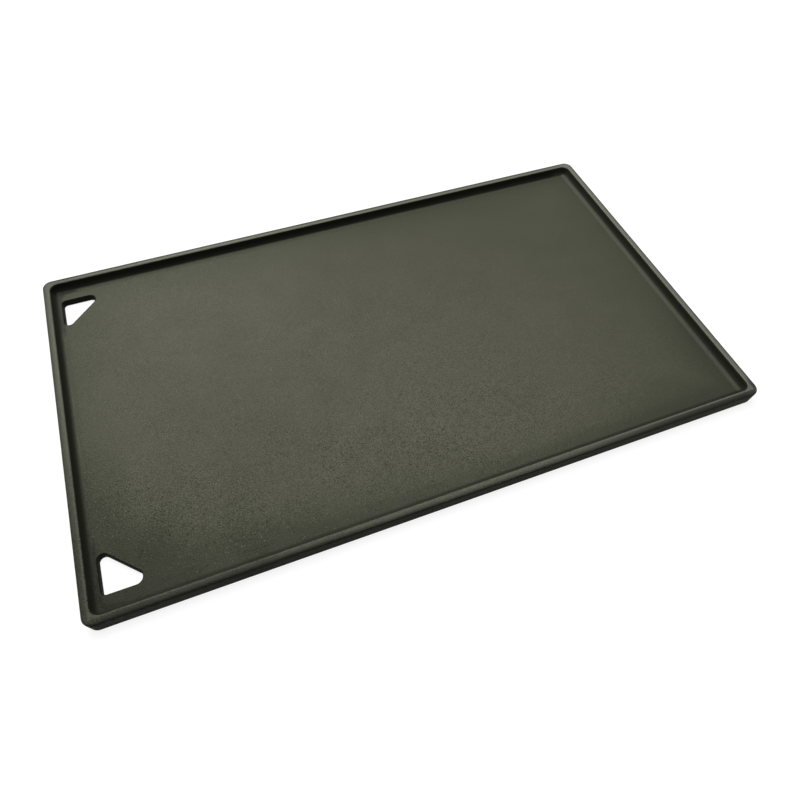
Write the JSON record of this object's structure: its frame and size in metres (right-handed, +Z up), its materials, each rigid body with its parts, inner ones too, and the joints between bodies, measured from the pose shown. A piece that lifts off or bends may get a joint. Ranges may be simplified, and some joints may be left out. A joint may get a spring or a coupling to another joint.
{
  "type": "camp griddle plate",
  "caption": "Flat cast-iron camp griddle plate with a raised rounded rim, a smooth sunken cooking surface and triangular lifting and drain holes in the corners of one end.",
  "frame": {"origin": "middle of the flat underside, on the surface that the plate lies on", "axes": "+Z up out of the cooking surface, +X along the plate away from the end with the holes, +Y across the plate"},
  "size_m": [0.406, 0.243, 0.011],
  "materials": {
    "iron": "matt seasoned sand-cast iron, dark olive grey"
  },
  "bodies": {
    "root": {"griddle_plate": "iron"}
  },
  "joints": []
}
